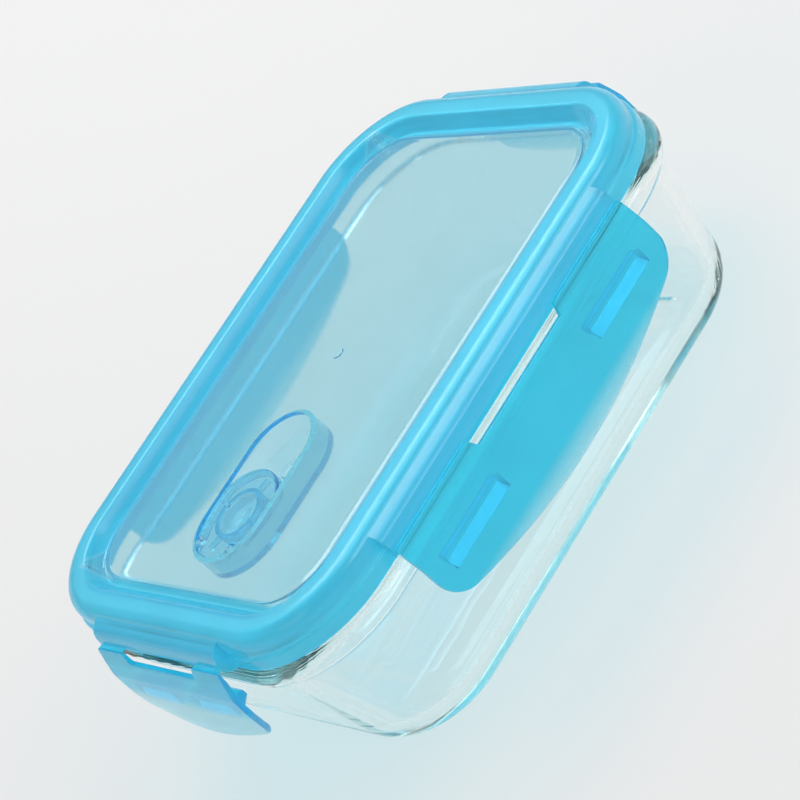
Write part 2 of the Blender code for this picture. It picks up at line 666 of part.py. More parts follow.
def make_vent_plug(cap):
    """A silicone plug held in the cap's tube, with a skirt over the valve seat and a tip in the hole."""
    radius = PLUG_TUBE_RADIUS - PLUG_TUBE_WALL - FIT_GAP
    top = CAP_TOP - CAP_PLATE - FIT_GAP
    seat_top = WELL_FLOOR + SEAT_HEIGHT + FIT_GAP
    tip = WELL_FLOOR
    dimple = top - PLUG_DIMPLE_FLOOR
    section = [(PLUG_DIMPLE_FLOOR, top - EDGE_ROUNDING * 2), (PLUG_DIMPLE_RADIUS - 0.0014, dimple)]
    section += [(PLUG_DIMPLE_RADIUS - EDGE_ROUNDING, dimple), (PLUG_DIMPLE_RADIUS, top), (radius, top)]
    section += [(radius, seat_top + PLUG_SKIRT_HEIGHT), (radius - PLUG_SKIRT_BEVEL, seat_top)]
    section += [(PLUG_TIP_RADIUS + FIT_GAP, seat_top), (PLUG_TIP_RADIUS, tip)]
    plug = stack_rings("vent_plug", [circle_ring(VENT_X, 0, *point) for point in section], SILICONE)
    shade(plug)
    plug.parent = cap
    plug.matrix_parent_inverse = Matrix.Translation(-CAP_AXIS)


def main():
    clear_scene()
    make_dish()
    make_seal()
    lid = make_lid()
    for side in SIDES:
        make_latch(side, lid)
    make_vent_plug(make_vent_cap(lid))


main()
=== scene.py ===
"""Looks and stage for a glass storage container: a dish, a seal, a lid with four latches, and a vent.

Metres, +Z up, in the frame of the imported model. Sections are drawn as (offset, height) points, where the
offset counts outwards from the outline of the lid's crown.
"""

import math

import bmesh
import bpy
from mathutils import Matrix, Quaternion, Vector


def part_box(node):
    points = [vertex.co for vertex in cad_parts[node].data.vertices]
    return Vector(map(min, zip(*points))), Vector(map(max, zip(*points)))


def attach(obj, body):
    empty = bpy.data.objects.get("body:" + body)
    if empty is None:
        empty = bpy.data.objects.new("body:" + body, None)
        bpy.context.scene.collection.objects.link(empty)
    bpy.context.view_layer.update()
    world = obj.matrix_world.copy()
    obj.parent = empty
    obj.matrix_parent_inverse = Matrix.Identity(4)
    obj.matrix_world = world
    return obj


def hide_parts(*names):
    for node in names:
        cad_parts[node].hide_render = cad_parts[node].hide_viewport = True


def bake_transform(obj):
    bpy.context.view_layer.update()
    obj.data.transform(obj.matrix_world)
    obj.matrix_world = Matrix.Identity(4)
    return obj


bl_info = {
    "name": "Glass Storage Container",
    "version": (1, 0, 0),
    "blender": (4, 5, 0),
    "location": "View3D > Sidebar > Container",
    "description": "Builds a glass storage container with a latched lid and a flip-up vent",
    "category": "Add Mesh",
}

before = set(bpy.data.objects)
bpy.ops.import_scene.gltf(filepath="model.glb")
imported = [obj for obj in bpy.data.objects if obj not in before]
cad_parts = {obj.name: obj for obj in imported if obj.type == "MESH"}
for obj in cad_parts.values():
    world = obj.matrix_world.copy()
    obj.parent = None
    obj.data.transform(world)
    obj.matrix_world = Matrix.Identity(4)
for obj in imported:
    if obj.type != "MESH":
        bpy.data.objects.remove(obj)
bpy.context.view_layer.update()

LID_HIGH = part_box("lid_shell")[1]
DISH_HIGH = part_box("glass_dish")[1]

# Steps round each corner of the container, clearance between pieces, and how far a cut runs past its piece.
CORNER_STEPS = 20
FIT_GAP = 0.0003
CUT_PAST = 0.005

# The bead's middle below the rim, the skirt's gap above the bead, and the hinges below the crown's top.
BEAD_DROP = 0.0086
SKIRT_GAP = 0.0007
HINGE_DROP = 0.0084

# How far the ledges stand out from the crown, the walls at their ends, and the width of the milky crown.
LEDGE_REACH = 0.0047
LEDGE_END_WALL = 0.0015
CROWN_BAND = 0.0155

# The vent well and its cup, the seat round the vent hole, and the round mark beside it.
WELL_MIDDLE = -0.0482
WELL_HALF = 0.02625
WELL_RADIUS = 0.01425
WELL_DEPTH = 0.008
WELL_MARK_X = -0.0375
CUP_WALL = 0.0015
SEAT_RADIUS = 0.005
SEAT_RISE = 0.0008

# The vent cap: its depth below the panel, its wall, the sockets for its trunnions, and its plug's tube.
CAP_SINK = 0.0005
CAP_WALL = 0.0016
SOCKET_REACH = 0.0092
SOCKET_RADIUS = 0.001
TUBE_RADIUS = 0.009
TUBE_BORE = 0.0076

# How far a latch hangs below its hinge, the bow and the rounding of its lower edge, half the length of its
# slit, and where its hook's ridges start and end. The last two are counted from the latch's middle.
LONG_LATCH = {"drop": 0.0322, "bow": 0.0086, "corner": 0.008, "slit": 0.024, "ridge": (0.0255, 0.0535)}
SHORT_LATCH = {"drop": 0.0298, "bow": 0.0045, "corner": 0.004, "slit": 0.020, "ridge": (0.006, 0.027)}

# A flap: its two bends below the hinge, its rise over the hinge, its wall there and what it gains by the
# first bend, the depth and end slope of its slit, its hook and the step at a ridge's ends, its rounded tip,
# and the places of the points down its lip.
KNEE_DROP = 0.0044
CREASE_DROP = 0.0089
FLAP_RISE = 0.0002
HINGE_WALL = 0.0008
FLAP_WALL = 0.001
SLIT_DEPTH = 0.0035
SLIT_END = 0.0016
HOOK_OFFSET = 0.0032
HOOK_HEIGHT = 0.0048
RIDGE_EDGE = 0.0003
TIP_RADIUS = 0.0009
LIP_SHARES = (0.04, 0.1, 0.2, 0.3, 0.4, 0.5, 0.6, 0.7, 0.8, 0.88, 0.94)

# The middle range of a noise pattern, which the finishes are spread over.
PATTERN_LOW = 0.3
PATTERN_HIGH = 0.7
PLASTIC_IOR = 1.5

# Colours of the surround by height, and the lamps: name, place, aim, size and power.
SURROUND = ((0.13, (0.93, 0.935, 0.94)), (0.24, (0.35, 0.353, 0.356)), (0.55, (0.577, 0.58, 0.583)))
LAMPS = (
    ("softbox", (0.63, 0.95, 1.65), (0, 0, 0.05), (1.15, 1.15), 14),
    ("overhead", (0.7, -0.15, 2.1), (0, 0, 0), (1.0, 1.2), 5),
    ("front", (0.75, -1.5, 1.25), (0, 0, 0.05), (1.1, 0.8), 8),
    ("left", (-1.8, -0.6, 0.9), (0, 0, 0.05), (1.0, 1.0), 2.5),
)


# Settings.


def length(name, description, default):
    """A setting in metres."""
    return bpy.props.FloatProperty(
        name=name,
        description=description,
        default=default,
        min=0,
        precision=5,
        subtype="DISTANCE",
        unit="LENGTH",
    )


def colour(name, description, default):
    """A colour setting."""
    return bpy.props.FloatVectorProperty(
        name=name,
        description=description,
        default=default,
        min=0,
        max=1,
        size=3,
        subtype="COLOR",
    )


def number(name, description, default, low=0.0, high=1000.0):
    """A plain setting between two limits."""
    return bpy.props.FloatProperty(name=name, description=description, default=default, min=low, max=high)


class ContainerSizes(bpy.types.PropertyGroup):
    """Sizes of the dish, the lid and the latches."""

    crown_length: length("Crown length", "Length of the lid's crown", 2 * (LID_HIGH.x - LEDGE_REACH))
    crown_width: length("Crown width", "Width of the lid's crown", 2 * (LID_HIGH.y - LEDGE_REACH))
    corner_radius: length("Corner radius", "Corner radius of the lid's crown", 0.034)
    crown_top: length("Crown top", "Height of the crown above the table", LID_HIGH.z)
    crown_rounding: length("Crown rounding", "Radius over the outer edge of the crown", 0.0045)
    rim_height: length("Rim height", "Height of the glass rim", DISH_HIGH.z)
    dish_wall: length("Dish wall", "Thickness of the glass wall", 0.0046)
    dish_floor: length("Dish floor", "Thickness of the glass floor", 0.005)
    foot_offset: length("Foot inset", "How far the long walls lean in at the foot", 0.0045)
    end_lean: length("End lean", "How much further the short walls lean in", 0.0045)
    bead_radius: length("Bead radius", "Radius of the glass bead under the lid", 0.0037)
    lid_wall: length("Lid wall", "Thickness of the lid's wall", 0.0018)
    panel_drop: length("Panel drop", "How far the panel lies below the crown", 0.003)
    long_latch: length("Long latch", "Length of the front and back latches", 0.122)
    short_latch: length("Short latch", "Length of the end latches", 0.069)
    vent_x: number("Vent place", "Where the vent hole is along the lid", -0.0578, -0.1, 0.1)


class ContainerFinishes(bpy.types.PropertyGroup):
    """Colours and clarity of the materials."""

    glass_face: colour("Glass surface", "Surface colour of the glass", (0.985, 0.995, 0.99))
    glass_tint: colour("Glass tint", "What deep glass lets through", (0.72, 0.93, 0.86))
    glass_depth: number("Glass depth", "How fast the glass takes its tint, per metre", 6.0)
    plastic_tint: colour("Plastic tint", "What deep lid plastic lets through", (0.0, 0.86, 0.985))
    plastic_depth: number("Plastic depth", "How fast the lid plastic takes its tint, per metre", 110.0)
    panel_face: colour("Panel surface", "Surface colour of the lid's clear panel", (0.66, 0.87, 0.93))
    crown_face: colour("Crown surface", "Surface colour of the lid's milky crown", (0.10, 0.72, 0.93))
    latch_face: colour("Latch surface", "Surface colour of the latches", (0.05, 0.72, 0.93))
    lip_face: colour("Lip surface", "Surface colour of the latches' thin lips", (0.60, 0.88, 0.95))
    cap_shade: colour("Cap shade", "Darker surface colour of the vent cap", (0.72, 0.93, 0.99))
    cap_face: colour("Cap surface", "Lighter surface colour of the vent cap", (0.80, 0.95, 1.0))
    cap_tint: colour("Cap tint", "What deep cap plastic lets through", (0.10, 0.82, 0.97))
    cap_depth: number("Cap depth", "How fast the cap takes its tint, per metre", 260.0)
    silicone: colour("Silicone", "Colour of the seal and the vent plug", (0.86, 0.94, 0.96))
    floor: colour("Floor", "Colour of the floor", (0.86, 0.86, 0.86))


def sizes():
    return bpy.context.scene.container_sizes


def finishes():
    return bpy.context.scene.container_finishes


def heights():
    """Heights and offsets that follow from the sizes."""
    s = sizes()
    found = {"bead_z": s.rim_height - BEAD_DROP}
    found["bead_bottom"] = found["bead_z"] - s.bead_radius
    found["skirt_bottom"] = found["bead_z"] + s.bead_radius + SKIRT_GAP
    found["hinge_z"] = s.crown_top - HINGE_DROP
    found["hinge_offset"] = LEDGE_REACH + 2 * FIT_GAP
    found["panel_top"] = s.crown_top - s.panel_drop
    found["well_floor"] = found["panel_top"] - WELL_DEPTH
    return found


# Shapes.


def arc(centre, radius, start, end, steps):
    """Points of a section on an arc, in degrees, both ends included."""
    turns = [math.radians(start + (end - start) * step / steps) for step in range(steps + 1)]
    return [(centre[0] + radius * math.cos(turn), centre[1] + radius * math.sin(turn)) for turn in turns]


def soften(points, steps=4):
    """A smooth line through the points of a section."""

    def between(p, q, r, s, t):
        bend, twist = 2 * p - 5 * q + 4 * r - s, 3 * q - p - 3 * r + s
        return 0.5 * (2 * q + (r - p) * t + bend * t**2 + twist * t**3)

    ends = [points[0], *points, points[-1]]
    line = []
    for corners in zip(ends, ends[1:], ends[2:], ends[3:]):
        for step in range(steps):
            line.append(tuple(between(*values, step / steps) for values in zip(*corners)))
    return line + [tuple(points[-1])]


def chain(builder, points, closed):
    """Edges from each point to the next, and back to the first if the chain is closed."""
    corners = [builder.verts.new(point) for point in points]
    pairs = list(zip(corners, corners[1:]))
    if closed:
        pairs.append((corners[-1], corners[0]))
    return [builder.edges.new(pair) for pair in pairs]


def only_edges(geometry):
    return [item for item in geometry if isinstance(item, bmesh.types.BMEdge)]


def only_verts(geometry):
    return [item for item in geometry if isinstance(item, bmesh.types.BMVert)]


def extrude(builder, edges):
    """Extrudes edges where they are, and gives the new edges and corners."""
    made = bmesh.ops.extrude_edge_only(builder, edges=edges)["geom"]
    fresh = only_verts(made)
    return [edge for edge in only_edges(made) if set(edge.verts) <= set(fresh)], fresh


def close_up(builder):
    """Merges the doubles, fills open rims and points the faces outwards."""
    bmesh.ops.remove_doubles(builder, verts=builder.verts, dist=2e-6)
    open_edges = [edge for edge in builder.edges if edge.is_boundary]
    if open_edges:
        bmesh.ops.holes_fill(builder, edges=open_edges, sides=0)
    bmesh.ops.recalc_face_normals(builder, faces=builder.faces)


def sweep(section, closed):
    """Carries a section round the outline of the crown: straight runs are extruded and corners are spun."""
    s = sizes()
    reach_x = s.crown_length / 2 - s.corner_radius
    reach_y = s.crown_width / 2 - s.corner_radius
    builder = bmesh.new()
    start = [(-reach_x, -reach_y - s.corner_radius - offset, height) for offset, height in section]
    edges = chain(builder, start, closed)
    runs = (((1, -1), (2 * reach_x, 0, 0)), ((1, 1), (0, 2 * reach_y, 0)))
    runs += (((-1, 1), (-2 * reach_x, 0, 0)), ((-1, -1), (0, -2 * reach_y, 0)))
    for (sign_x, sign_y), step in runs:
        edges, corners = extrude(builder, edges)
        bmesh.ops.translate(builder, verts=corners, vec=step)
        spun = bmesh.ops.spin(
            builder,
            geom=edges,
            cent=(sign_x * reach_x, sign_y * reach_y, 0),
            axis=(0, 0, 1),
            dvec=(0, 0, 0),
            angle=math.pi / 2,
            steps=CORNER_STEPS,
            use_merge=False,
            use_duplicate=False,
        )
        edges = only_edges(spun["geom_last"])
    close_up(builder)
    return builder


def loft(rings):
    """Extrudes a closed ring of points through the others and caps both ends."""
    builder = bmesh.new()
    edges = chain(builder, rings[0], True)
    corners = list(builder.verts)
    for points in rings[1:]:
        edges, made = extrude(builder, edges)
        fresh = set(made)
        moved = []
        for corner, point in zip(corners, points):
            others = (edge.other_vert(corner) for edge in corner.link_edges)
            partner = next(other for other in others if other in fresh)
            partner.co = point
            moved.append(partner)
        corners = moved
    close_up(builder)
    return builder


def raised(outline, low, high, rounding=0.0):
    """A flat outline raised between two heights, with its upper edge rounded."""
    builder = bmesh.new()
    corners = [builder.verts.new((x, y, low)) for x, y in outline]
    base = builder.faces.new(corners)
    made = bmesh.ops.extrude_face_region(builder, geom=[base])["geom"]
    bmesh.ops.translate(builder, verts=only_verts(made), vec=(0, 0, high - low))
    if rounding:
        top = [edge for edge in builder.edges if all(abs(vert.co.z - high) < 1e-7 for vert in edge.verts)]
        bmesh.ops.bevel(
            builder,
            geom=top,
            offset=rounding,
            segments=3,
            profile=0.5,
            affect="EDGES",
            material=-1,
            clamp_overlap=True,
        )
    close_up(builder)
    return builder


def turned(section, x, y, steps=64):
    """A section of (radius, height) points spun round an upright axis."""
    builder = bmesh.new()
    edges = chain(builder, [(x + radius, y, height) for radius, height in section], False)
    bmesh.ops.spin(
        builder,
        geom=edges + list(builder.verts),
        cent=(x, y, 0),
        axis=(0, 0, 1),
        dvec=(0, 0, 0),
        angle=2 * math.pi,
        steps=steps,
        use_merge=True,
        use_duplicate=False,
    )
    close_up(builder)
    return builder


def box(low, high):
    """A block between two corners."""
    builder = bmesh.new()
    size = [b - a for a, b in zip(low, high)]
    middle = [(a + b) / 2 for a, b in zip(low, high)]
    matrix = Matrix.Translation(middle) @ Matrix.Diagonal((*size, 1))
    bmesh.ops.create_cube(builder, size=1, matrix=matrix)
    return builder


def rod(start, end, radius, steps=32):
    """A round bar between two points."""
    start, end = Vector(start), Vector(end)
    axis = end - start
    builder = bmesh.new()
    bmesh.ops.create_cone(
        builder,
        cap_ends=True,
        segments=steps,
        radius1=radius,
        radius2=radius,
        depth=axis.length,
        matrix=Matrix.Translation((start + end) / 2) @ axis.to_track_quat("Z", "Y").to_matrix().to_4x4(),
    )
    return builder


def as_object(name, builder, material=None):
    """Turns a builder into an object at the origin and frees it."""
    mesh = bpy.data.meshes.new(name)
    builder.to_mesh(mesh)
    builder.free()
    made = bpy.data.objects.new(name, mesh)
    bpy.context.scene.collection.objects.link(made)
    if material:
        mesh.materials.append(material)
    return made


def bake_modifiers(item):
    """Puts the result of an object's modifiers in its mesh."""
    graph = bpy.context.evaluated_depsgraph_get()
    evaluated = item.evaluated_get(graph)
    mesh = bpy.data.meshes.new_from_object(evaluated, preserve_all_data_layers=True, depsgraph=graph)
    item.modifiers.clear()
    item.data = mesh


def combine(item, steps):
    """Joins on or cuts away the given shapes, in order."""
    tools = []
    for operation, builder in steps:
        tool = as_object(f"{item.name}_tool", builder)
        tools.append(tool)
        modifier = item.modifiers.new(operation, "BOOLEAN")
        modifier.operation = operation
        modifier.solver = "EXACT"
        modifier.object = tool
    bpy.context.view_layer.update()
    bake_modifiers(item)
    for tool in tools:
        bpy.data.objects.remove(tool, do_unlink=True)


def smooth(item, angle=32):
    """Shades smooth across gentle edges, with flat faces keeping their own normals."""
    item.data.shade_smooth()
    item.data.set_sharp_from_angle(angle=math.radians(angle))
    modifier = item.modifiers.new("normals", "WEIGHTED_NORMAL")
    modifier.keep_sharp = True
    bake_modifiers(item)


def settle(item, body, slot, *nodes):
    """Puts a finished piece on its body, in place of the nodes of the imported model."""
    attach(item, body)
    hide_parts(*nodes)


# Materials.


def new_material(name):
    """A material with its nodes, its links and its shader."""
    made = bpy.data.materials.new(name)
    made.use_nodes = True
    nodes, links = made.node_tree.nodes, made.node_tree.links
    return made, nodes, links, nodes["Principled BSDF"]


def noise(nodes, links, scale, detail=3.0, roughness=0.5):
    """A noise pattern on object coordinates."""
    place = nodes.new("ShaderNodeTexCoord")
    pattern = nodes.new("ShaderNodeTexNoise")
    pattern.inputs["Scale"].default_value = scale
    pattern.inputs["Detail"].default_value = detail
    pattern.inputs["Roughness"].default_value = roughness
    links.new(place.outputs["Object"], pattern.inputs["Vector"])
    return pattern.outputs["Fac"]


def spread(nodes, links, value, low, high):
    """The value of a pattern carried to a range."""
    node = nodes.new("ShaderNodeMapRange")
    node.inputs["From Min"].default_value = PATTERN_LOW
    node.inputs["From Max"].default_value = PATTERN_HIGH
    node.inputs["To Min"].default_value = low
    node.inputs["To Max"].default_value = high
    links.new(value, node.inputs["Value"])
    return node.outputs["Result"]


def tint(nodes, links, value, first, second):
    """The value of a pattern carried from one colour to another."""
    ramp = nodes.new("ShaderNodeValToRGB")
    ramp.color_ramp.elements[0].position = PATTERN_LOW
    ramp.color_ramp.elements[0].color = (*first, 1)
    ramp.color_ramp.elements[1].position = PATTERN_HIGH
    ramp.color_ramp.elements[1].color = (*second, 1)
    links.new(value, ramp.inputs["Fac"])
    return ramp.outputs["Color"]


def bump(nodes, links, shader, value, strength, distance):
    """Makes a surface look uneven by the value of a pattern."""
    node = nodes.new("ShaderNodeBump")
    node.inputs["Strength"].default_value = strength
    node.inputs["Distance"].default_value = distance
    links.new(value, node.inputs["Height"])
    links.new(node.outputs["Normal"], shader.inputs["Normal"])


def absorb(nodes, links, through, depth):
    """Colour that deepens with the thickness of the piece."""
    node = nodes.new("ShaderNodeVolumeAbsorption")
    node.inputs["Color"].default_value = (*through, 1)
    node.inputs["Density"].default_value = depth
    links.new(node.outputs["Volume"], nodes["Material Output"].inputs["Volume"])


def let_lamps_through(nodes, links, shader, through):
    """Lets light for other surfaces pass straight on, so that what the piece covers isn't dark."""
    path = nodes.new("ShaderNodeLightPath")
    clear = nodes.new("ShaderNodeBsdfTransparent")
    clear.inputs["Color"].default_value = (*through, 1)
    seen = shader.outputs["BSDF"]
    for kind in ("Is Shadow Ray", "Is Diffuse Ray"):
        mix = nodes.new("ShaderNodeMixShader")
        links.new(path.outputs[kind], mix.inputs["Fac"])
        links.new(seen, mix.inputs[1])
        links.new(clear.outputs["BSDF"], mix.inputs[2])
        seen = mix.outputs["Shader"]
    links.new(seen, nodes["Material Output"].inputs["Surface"])


def shaded(face, factor):
    """A colour made a little darker."""
    return tuple(part * factor for part in face)


def glass_material():
    """Pressed borosilicate glass: clear, faintly green in depth, with the slow waves of a moulded wall."""
    made, nodes, links, shader = new_material("pressed_glass")
    look = finishes()
    shader.inputs["Transmission Weight"].default_value = 1
    shader.inputs["IOR"].default_value = 1.48
    waves = noise(nodes, links, 28, 2)
    links.new(tint(nodes, links, waves, look.glass_face, (1, 1, 1)), shader.inputs["Base Color"])
    links.new(spread(nodes, links, noise(nodes, links, 60), 0.0, 0.012), shader.inputs["Roughness"])
    bump(nodes, links, shader, waves, 0.12, 0.0006)
    absorb(nodes, links, look.glass_tint, look.glass_depth)
    let_lamps_through(nodes, links, shader, (0.994, 0.996, 0.995))
    return made


def blend_values(nodes, links, share, first, second):
    """A value that goes from one to the other as the share goes from 0 to 1."""
    node = nodes.new("ShaderNodeMix")
    links.new(share, node.inputs["Factor"])
    links.new(first, node.inputs["A"])
    links.new(second, node.inputs["B"])
    return node.outputs["Result"]


def blend_colours(nodes, links, share, first, second):
    """A colour that goes from one to the other as the share goes from 0 to 1."""
    node = nodes.new("ShaderNodeMix")
    node.data_type = "RGBA"
    links.new(share, node.inputs["Factor"])
    links.new(first, next(end for end in node.inputs if end.name == "A" and end.type == "RGBA"))
    links.new(second, next(end for end in node.inputs if end.name == "B" and end.type == "RGBA"))
    return next(end for end in node.outputs if end.type == "RGBA")


def object_axes(nodes, links):
    """The X, Y and Z of object coordinates."""
    place = nodes.new("ShaderNodeTexCoord")
    split = nodes.new("ShaderNodeSeparateXYZ")
    links.new(place.outputs["Object"], split.inputs["Vector"])
    return split.outputs


def share_between(nodes, links, value, start, end):
    """0 up to the start and 1 from the end."""
    node = nodes.new("ShaderNodeMapRange")
    node.inputs["From Min"].default_value = start
    node.inputs["From Max"].default_value = end
    links.new(value, node.inputs["Value"])
    return node.outputs["Result"]


def beyond(nodes, links, half_x, half_y, blur):
    """0 inside a rectangle about the origin and 1 outside it, on object coordinates."""
    axes = object_axes(nodes, links)
    either = nodes.new("ShaderNodeMath")
    either.operation = "MAXIMUM"
    for socket, (axis, half) in zip(either.inputs, (("X", half_x), ("Y", half_y))):
        size = nodes.new("ShaderNodeMath")
        size.operation = "ABSOLUTE"
        links.new(axes[axis], size.inputs[0])
        links.new(share_between(nodes, links, size.outputs["Value"], half - blur, half + blur), socket)
    return either.outputs["Value"]


def below(nodes, links, high, low):
    """0 above a height and 1 below another, on object coordinates."""
    return share_between(nodes, links, object_axes(nodes, links)["Z"], high, low)


def finish_plastic(nodes, links, shader):
    """What all the blue plastic shares: its bending of light, its fine grain, its depth of colour."""
    look = finishes()
    shader.inputs["IOR"].default_value = PLASTIC_IOR
    bump(nodes, links, shader, noise(nodes, links, 900, 3), 0.03, 0.0001)
    absorb(nodes, links, look.plastic_tint, look.plastic_depth)
    let_lamps_through(nodes, links, shader, (0.99, 0.997, 1))


def lid_material():
    """Moulded polypropylene with a polished clear panel inside a milky, more strongly coloured crown."""
    made, nodes, links, shader = new_material("lid_plastic")
    s, look = sizes(), finishes()
    panel_x, panel_y = s.crown_length / 2 - CROWN_BAND, s.crown_width / 2 - CROWN_BAND
    rim = beyond(nodes, links, panel_x, panel_y, 0.0012)
    cloud = noise(nodes, links, 45, 4)
    clear = tint(nodes, links, cloud, shaded(look.panel_face, 0.97), look.panel_face)
    milky = tint(nodes, links, cloud, shaded(look.crown_face, 0.94), look.crown_face)
    links.new(blend_colours(nodes, links, rim, clear, milky), shader.inputs["Base Color"])
    grain = noise(nodes, links, 420, 5)
    polished, matt = spread(nodes, links, grain, 0.04, 0.08), spread(nodes, links, grain, 0.2, 0.27)
    links.new(blend_values(nodes, links, rim, polished, matt), shader.inputs["Roughness"])
    links.new(spread(nodes, links, rim, 0.94, 0.64), shader.inputs["Transmission Weight"])
    finish_plastic(nodes, links, shader)
    return made


def latch_material(name, pale_high, pale_low):
    """Translucent moulded polypropylene with a soft gloss, thinner and paler towards the lip of the latch."""
    made, nodes, links, shader = new_material(name)
    look = finishes()
    lip = below(nodes, links, pale_high, pale_low)
    cloud = noise(nodes, links, 45, 4)
    milky = tint(nodes, links, cloud, shaded(look.latch_face, 0.94), look.latch_face)
    pale = tint(nodes, links, cloud, shaded(look.lip_face, 0.96), look.lip_face)
    links.new(blend_colours(nodes, links, lip, milky, pale), shader.inputs["Base Color"])
    links.new(spread(nodes, links, noise(nodes, links, 420, 5), 0.14, 0.22), shader.inputs["Roughness"])
    links.new(spread(nodes, links, lip, 0.76, 0.86), shader.inputs["Transmission Weight"])
    finish_plastic(nodes, links, shader)
    return made


def cap_material():
    """Clear glossy plastic with a blue cast at its edges."""
    made, nodes, links, shader = new_material("cap_plastic")
    look = finishes()
    shader.inputs["Transmission Weight"].default_value = 0.97
    shader.inputs["IOR"].default_value = PLASTIC_IOR
    cloud = noise(nodes, links, 120, 3)
    links.new(tint(nodes, links, cloud, look.cap_shade, look.cap_face), shader.inputs["Base Color"])
    links.new(spread(nodes, links, noise(nodes, links, 500, 4), 0.03, 0.08), shader.inputs["Roughness"])
    bump(nodes, links, shader, noise(nodes, links, 250, 2), 0.04, 0.0002)
    absorb(nodes, links, look.cap_tint, look.cap_depth)
    let_lamps_through(nodes, links, shader, (0.97, 0.99, 1))
    return made


def silicone_material():
    """Slightly milky silicone with a satin skin."""
    made, nodes, links, shader = new_material("silicone")
    face = finishes().silicone
    shader.inputs["Transmission Weight"].default_value = 0.78
    shader.inputs["IOR"].default_value = 1.41
    cloud = noise(nodes, links, 90, 4)
    links.new(tint(nodes, links, cloud, shaded(face, 0.95), face), shader.inputs["Base Color"])
    links.new(spread(nodes, links, noise(nodes, links, 700, 4), 0.14, 0.24), shader.inputs["Roughness"])
    bump(nodes, links, shader, noise(nodes, links, 1500, 3), 0.05, 0.0001)
    let_lamps_through(nodes, links, shader, (0.985, 0.99, 0.995))
    return made


def floor_material():
    """Smooth pale painted board."""
    made, nodes, links, shader = new_material("pale_floor")
    cloud = noise(nodes, links, 3, 3)
    face = finishes().floor
    links.new(tint(nodes, links, cloud, shaded(face, 0.995), face), shader.inputs["Base Color"])
    shader.inputs["Roughness"].default_value = 1.0
    shader.inputs["Specular IOR Level"].default_value = 0.0
    return made


# Glass dish.


def dish_section():
    """From the recess in the underside, round the foot, up the wall, over the rim and down to the floor."""
    s, h = sizes(), heights()
    fillet, inner_fillet = 0.012, 0.009
    foot_width, recess = 0.0085, 0.0008
    neck, bead_middle = -0.0014, 0.0029 - s.bead_radius
    rim_outer, rim_inner, rim_round = -0.0014, -0.0059, 0.0013
    foot = -s.foot_offset
    draft = math.degrees(math.atan2(neck - foot, h["bead_bottom"] - fillet))
    foot_outer = foot - fillet
    foot_inner = foot_outer - foot_width
    step = [(foot_inner - 0.006, recess), (foot_inner - 0.003, recess - 0.0001), (foot_inner, 0.0001)]
    section = soften(step) + [(foot_inner + 0.001, 0)]
    section += arc((foot_outer, fillet), fillet, 270, 360 - draft, 14)
    section += [(neck - 0.0004, h["bead_bottom"] - 0.004), (neck + 0.0002, h["bead_bottom"] - 0.0004)]
    section += arc((bead_middle, h["bead_z"]), s.bead_radius, 290, 438, 16)
    section += [(rim_outer + 0.0002, h["skirt_bottom"])]
    section += arc((rim_outer - rim_round, s.rim_height - rim_round), rim_round, 0, 90, 5)
    section += arc((rim_inner + rim_round, s.rim_height - rim_round), rim_round, 90, 180, 5)
    section += [(neck - s.dish_wall, h["bead_bottom"])]
    inner = (foot - s.dish_wall - inner_fillet, s.dish_floor + inner_fillet)
    section += arc(inner, inner_fillet, 360 - draft, 270, 12)
    return section + [(inner[0] - 0.004, s.dish_floor)]


class CONTAINER_OT_dish(bpy.types.Operator):
    """Build the pressed glass dish"""

    bl_idname = "container.dish"
    bl_label = "Glass dish"

    def execute(self, context):
        builder = sweep(dish_section(), False)
        full = heights()["bead_bottom"]
        for vert in builder.verts:
            lean = sizes().end_lean * max(1 - vert.co.z / full, 0)
            vert.co.x -= math.copysign(lean, vert.co.x)
        dish = as_object("dish_glass", builder, glass_material())
        smooth(dish)
        settle(dish, "dish", "glass", "glass_dish")
        return {"FINISHED"}


# Seal.


def seal_section():
    """Thick where it bears on the glass rim, thinner inside it, and round under the corner of the crown."""
    s = sizes()
    bottom = s.rim_height + FIT_GAP
    top = s.crown_top - s.lid_wall - FIT_GAP
    inner, pad, step = -0.0080, -0.0059, 0.0007
    pad_round, chamfer, bevel = 0.0006, 0.0014, 0.0004
    centre = (-s.crown_rounding, s.crown_top - s.crown_rounding)
    radius = s.crown_rounding - s.lid_wall - FIT_GAP
    outer = centre[0] + radius
    section = [(inner, top - bevel), (inner, bottom + step), (pad, bottom + step)]
    section += arc((pad + 0.001, bottom + pad_round), pad_round, 225, 270, 2)
    section += [(outer - chamfer, bottom), (outer, bottom + chamfer)]
    section += arc(centre, radius, 0, 90, 6)
    return section + [(inner + bevel, top)]


class CONTAINER_OT_seal(bpy.types.Operator):
    """Build the silicone seal under the crown"""

    bl_idname = "container.seal"
    bl_label = "Seal"

    def execute(self, context):
        seal = as_object("seal_ring", sweep(seal_section(), True), silicone_material())
        smooth(seal)
        settle(seal, "lid", "seal_silicone", "lid_seal")
        return {"FINISHED"}


# Sides and their latches.


class Side:
    """One side of the container: the direction out through it, and the half length and shape of its latch."""

    def __init__(self, name, outward, distance, half, shape):
        self.name = name
        self.outward = Vector(outward)
        self.along = Vector((-outward[1], outward[0], 0))
        self.distance = distance
        self.half = half
        self.drop = shape["drop"]
        self.bow = shape["bow"]
        self.corner = shape["corner"]
        self.slit = shape["slit"]
        self.ridge = shape["ridge"]

    def place(self, along, offset, height):
        """A point given by its place along the side, its offset from the crown and its height."""
        return self.outward * (self.distance + offset) + self.along * along + Vector((0, 0, height))


